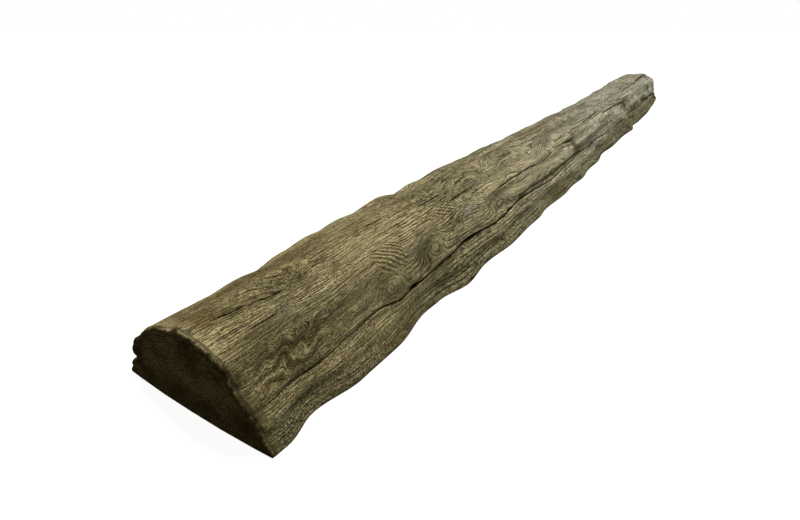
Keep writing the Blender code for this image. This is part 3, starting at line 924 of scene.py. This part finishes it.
def weathered_face():
    """Weathered wood. Lines, streaks and fibres are noise stretched along the stored grain field."""
    wood = Finish("weathered wood", 0.7, 0.0)
    along = wood.attribute("along")
    around = wood.attribute("around")
    grain = wood.attribute("grain") + 1.1 * wood.noise(around / 5, along / 34, 9, 2.0)
    # How far the wood is painted paler and greyer with sheen and light
    far = along.smooth(*SHEEN_GREYING)
    coarse = along.smooth(*COARSENING)
    blurred = 1.0 - 0.8 * along.smooth(*BLURRING)
    far_off = along.smooth(*FAR_OFF)

    # Worn valleys on the contours of the grain field, in four reaches along the log, each wider than the
    # one before, and the broad bands of the figured places
    wander = 14.0 * wood.noise(grain / 26, along / 300, 1)
    deep = 0.35 * wood.attribute("deep")
    strength = (wood.noise(grain / 6, along / 50, 2, 2.0) + deep).smooth(0.42, 0.58)
    patchy = (wood.noise(grain / 24, along / 240, 12, 2.0) + 0.5 * deep).smooth(0.42, 0.54)
    near_by = along.smooth(*RING_REACH[0][::-1])
    middle = (1.0 - near_by) * along.smooth(*RING_REACH[1][::-1])
    beyond = along.smooth(*RING_REACH[1]) * along.smooth(*RING_REACH[2][::-1])
    last = along.smooth(*RING_REACH[2])
    valley = wood.rings(grain + wander, RING_WIDTHS[0], 4.0) * near_by * strength
    far_valley = wood.rings(grain + wander, RING_WIDTHS[1], 7.0) * middle
    far_valley = far_valley + wood.rings(grain + wander, RING_WIDTHS[2], 9.0) * beyond
    far_valley = far_valley + wood.rings(grain + wander, RING_WIDTHS[3], 8.0) * last
    far_valley = far_valley * (0.25 + 0.75 * patchy)
    wide_valley = wood.rings(grain - wander, 2.8 * RING_WIDTHS[0], 9.0) * (1.0 - 0.6 * strength) * near_by
    banding = wood.rings(grain + wander, BAND_WIDTH, 1.0)

    # Streaks, fibres and threads along the grain, specks and mottles across it, pits and fine splits
    streak = wood.noise(grain / 3.4, along / 90, 3, 3.0, 0.65)
    fibre = wood.noise(grain / 1.1, along / 56, 4, 2.0, 0.7)
    thread = wood.noise(grain / 0.9, along / 9, 5, 2.0, 0.7)
    near_speck = wood.noise(around / 1.2, along / 2.6, 15, 1.0, 0.7)
    far_speck = wood.noise(around / 7, along / 32, 16, 3.0, 0.8)
    mid_speck = wood.noise(around / 2.8, along / 8, 18, 2.0, 0.7)
    speck = near_speck + (mid_speck - near_speck) * along.smooth(150, 450)
    speck = (speck + (far_speck - speck) * along.smooth(900, 1700)).smooth(0.34, 0.66)
    far_streak = wood.noise(grain / 9, along / 130, 13, 3.0, 0.75)
    patch = wood.noise(around / 22, along / 60, 7, 4.0, 0.6)
    mottle = wood.noise(around / 5, along / 9, 8, 4.0, 0.7)
    far_mottle = wood.noise(around / 16, along / 70, 14, 4.0, 0.7)
    hair = wood.noise(grain / 1.5, along / 44, 19, 1.0).smooth(0.54, 0.64)
    hair = hair * (1.0 - 0.8 * along.smooth(600, 1100))
    pit = wood.noise(around / 2.6, along / 4.6, 11, 1.0).smooth(0.33, 0.27)
    split = (wood.noise(grain / 2.4, along / 50, 10, 1.0) - 0.5).maths("ABSOLUTE")
    far_split = (wood.noise(grain / 9, along / 150, 17, 2.0) - 0.5).maths("ABSOLUTE")
    thin = 0.6 * split.smooth(0.045, 0.01) * near_by + far_split.smooth(0.03, 0.008) * (1.0 - near_by)

    # Stored patches, given ragged edges
    edge = 0.9 * (patch - 0.5) + 0.35 * (fibre - 0.5)
    straw = (wood.attribute("straw") + edge).smooth(0.22, 0.62)
    # Brown patches, one of them a painted shadow at a flake's step
    brown = (wood.attribute("brown") + edge).smooth(0.25, 0.62)
    grey = (wood.attribute("grey") - edge).smooth(0.25, 0.62)
    # Pale plates, partly painted sheen and painted glints
    bleached_and_sheen = (wood.attribute("bleached_and_sheen") + 0.8 * edge).smooth(0.25, 0.9)
    rust = (wood.attribute("rust") + 1.2 * edge + 0.8 * (mottle - 0.5)).smooth(0.25, 0.7)
    banded = (wood.attribute("banded") + edge).smooth(0.30, 0.60)
    ripple = (wood.attribute("ripple") + 1.2 * edge).smooth(0.26, 0.42)
    # Painted shade, read from its stored patches
    painted_shade = (wood.attribute("painted_shade") + 0.5 * edge).smooth(0.0, 1.0)
    far_flank = (around + 60.0 * edge).smooth(285.0, 322.0) * coarse
    foot = (around + 30.0 * edge).smooth(308.0, 336.0) * 0.5
    flank = (far_flank + foot + wood.attribute("green")).smooth(0.2, 0.9)
    rim = wood.attribute("rim") + 1.2 * edge + 1.0 * (mottle - 0.5)
    slant = (around - RIPPLE_SLANT * along) / (RIPPLE_WIDTH * math.hypot(1.0, RIPPLE_SLANT))
    ripple_line = wood.rings(slant + 0.9 * mottle + 1.0 * patch, 1.0, 1.5) * ripple

    # Pale flecks where the fibres stand high, and how far grey, rippled and banded wood hides its lines
    near_level = 0.44 * fibre + 0.18 * streak + 0.38 * thread
    level = near_level + (far_streak - near_level) * coarse * 0.6
    calm = (1.0 - 0.5 * grey) * (1.0 - 0.75 * ripple)
    flecks = calm * (1.0 - 0.65 * around.smooth(262, 300)) * (1.0 - 0.5 * brown)
    unbanded = calm * (1.0 - 0.75 * banded) * (1.0 - 0.35 * around.smooth(275, 310))
    pale = level.smooth(0.505, 0.57) * (1.0 - 0.9 * coarse) * flecks * blurred
    straw_fleck = level.smooth(0.495, 0.55) * straw * (1.0 - 0.8 * far) * flecks
    # Painted shade in the hollows of the far lumps, where the far mottle, and with it the height, is low
    far_lump_shade = far_mottle.smooth(0.48, 0.36) * (0.5 * coarse + 0.5 * far_off)
    ground = (0.5 * mottle + 0.2 * far_mottle + 0.3 * patch).smooth(0.33, 0.52)
    colour = wood.coats(wood.mix(ground, BROWN_AND_SHADE, OLIVE), [
        (grey * 0.5, GREY),
        (far * 0.8, FAR_SHEEN_GREY),
        (flank * 0.8, FLANK_GREEN),
        (brown * 0.7, BROWN_AND_SHADE),
        (banded * 0.75, PALE_OLIVE),
        (banded * banding.smooth(0.06, 0.42) * 0.85, BAND_BROWN),
        (ripple * 0.7, PALE_OLIVE),
        (pale * 0.5, PALE_OLIVE),
        (straw_fleck * 0.85, STRAW),
        (hair * flecks * 0.45, STRAW),
        ((0.3 + 0.5 * level.smooth(0.45, 0.55)) * bleached_and_sheen, BLEACHED_AND_SHEEN),
        (far_lump_shade * 0.5, BROWN_AND_SHADE),
        # Worn valleys, low fibres, splits, ripple lines and pits darkened: their own dark colour and painted
        # shade
        (valley * unbanded * 0.64, VALLEY_DARK_AND_SHADE),
        (wide_valley * unbanded * 0.2, VALLEY_DARK_AND_SHADE),
        (far_valley * calm * (1.0 - 0.65 * far_off) * 0.52, VALLEY_DARK_AND_SHADE),
        (level.smooth(0.475, 0.42) * flecks * blurred * 0.85, VALLEY_DARK_AND_SHADE),
        (thin * calm * (1.0 - 0.6 * far_off) * 0.65, VALLEY_DARK_AND_SHADE),
        (ripple_line * 0.8, VALLEY_DARK_AND_SHADE),
        (pit * 0.75, VALLEY_DARK_AND_SHADE),
    ])

    # Broad painted light and shade, and specks
    tone = TONE + (1.0 - 0.52 * along.smooth(450, 1000)) * (speck - 0.5)
    for change, steps_along, steps_around in LIGHT_AND_SHADE_TONES:
        for step in steps_along:
            change = change * along.smooth(*step)
        for step in steps_around:
            change = change * around.smooth(*step)
        tone = tone + change
    colour = wood.mix(1.0, colour, tone, "MULTIPLY")

    # Painted shade, rust, the worn rim with its pale corner, dark marks with painted shadow lines, and
    # cracks darkened with dirt and painted shade
    corner = rim.smooth(-0.75, -0.25) * rim.smooth(0.2, 0.0)
    corner = corner * around.smooth(270, 225) * level.smooth(0.44, 0.52)
    colour = wood.coats(colour, [
        (painted_shade * 0.6, PAINTED_SHADE_BROWN),
        (rust * level.smooth(0.56, 0.46) * 0.75, RUST),
        (rim.smooth(-0.9, 0.0) * (0.15 + 0.55 * around.smooth(215, 275)), RIM_BROWN),
        (corner * 0.55, STRAW),
        (rim.smooth(0.05, 0.45), RIM_DARK),
        # Dark marks and painted shadow lines
        (wood.attribute("mark").smooth(0.15, 0.85) * 0.9, MARK_AND_SHADOW_DARK),
        # Cracks darkened by their depth with dirt and painted shade
        (wood.attribute("hollow").smooth(0.25, 0.9), CRACK_SHADE_AND_DIRT),
    ])

    # Height in millimetres, rougher far off, where the fine lines run together
    height = 2.6 * streak + 2.8 * fibre + 1.7 * thread + 2.0 * mottle - 1.4 * valley
    height = height - 1.4 * thin - 1.6 * wide_valley - 1.2 * pit
    height = height - 3.0 * ripple_line - 0.8 * banding * banded
    height = height + coarse * (5.0 * far_streak + 6.0 * far_mottle) - 4.0 * far_valley
    height = height + far_off * (4.0 * far_streak + 18.0 * far_mottle)
    wood.surface(colour, 0.5 + 0.35 * streak, height)
    return wood.material


# The sawn ends
# Both ends were cut across with a saw. The end grain has drunk dirt and is almost black, partly painted
# shade of the end turned away from the light, with the yearly rings as faint arcs round the pith.
RING_PITCH = 3.4
RING_SWAY = 13.0
# Heights in metres between which the end grows darker towards its foot
FOOT_DARKENING = (0.045, 0.010)
# Both end colours are darker than the end grain's own colour: partly painted shade of the end turned away
# from the light
END_BROWN = (0.043, 0.033, 0.012, 1.0)
END_DARK = (0.013, 0.009, 0.003, 1.0)


def end_grain():
    """Dark end grain, its darkness partly painted shade, with rings of uneven pitch about the pith, darker
    at its foot.
    """
    wood = Finish("end grain", 0.9, 0.0)
    reach = wood.attribute("grain")
    place = wood.node("ShaderNodeTexCoord", {}, {}, "Object")
    height = wood.node("ShaderNodeSeparateXYZ", {}, {0: place}, 2)
    speckle = wood.grit(place, 260.0, 3.0)
    cloud = wood.grit(place, 30.0, 3.0)
    fleck = wood.grit(place, 620.0, 1.0)
    ring = wood.rings(reach + RING_SWAY * cloud, RING_PITCH, 1.5) * cloud.smooth(0.35, 0.65)
    tone = 0.44 * ring + 0.4 * speckle + 0.35 * cloud
    tone = tone + 1.3 * (fleck - 0.5) - 0.16 * height.smooth(*FOOT_DARKENING)
    colour = wood.mix(tone.smooth(0.38, 0.72), END_DARK, END_BROWN)
    wood.surface(colour, 0.75 + 0.2 * speckle, 0.5 * ring + 2.0 * speckle + 2.0 * cloud)
    return wood.material


# The sawn underside
# The saw left it flat, with fine marks straight across it. It has seen no sun and keeps a browner tone.
SAW_PITCH = 7.0
SAWN_PALE = (0.130, 0.092, 0.048, 1.0)
SAWN_DARK = (0.075, 0.052, 0.026, 1.0)


def sawn_face():
    """Sawn wood with cross marks of the blade over long soft grain."""
    wood = Finish("sawn wood", 0.8, 0.2)
    grain = wood.attribute("grain")
    along = wood.attribute("along")
    streak = wood.noise(grain / 6.0, along / 260.0, 1, 4.0)
    sway = wood.noise(grain / 90.0, along / 40.0, 2, 1.0)
    mark = ((along / SAW_PITCH + 1.5 * sway) * (2.0 * math.pi)).maths("SINE") * 0.5 + 0.5
    colour = wood.mix((0.75 * streak + 0.25 * mark).smooth(0.3, 0.7), SAWN_DARK, SAWN_PALE)
    wood.surface(colour, 0.7 + 0.2 * streak, 0.25 * mark + 0.6 * streak)
    return wood.material


log_mesh.materials.append(weathered_face())
log_mesh.materials.append(end_grain())
log_mesh.materials.append(sawn_face())

finish_of = np.where(end_face, 1, np.where(sawn, 2, 0))
finish_numbers = np.append(finish_of.ravel(), np.ones(2 * column_count, int))
log_mesh.polygons.foreach_set("material_index", finish_numbers)
log_mesh.update()

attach(log, "root")
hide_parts("beam")
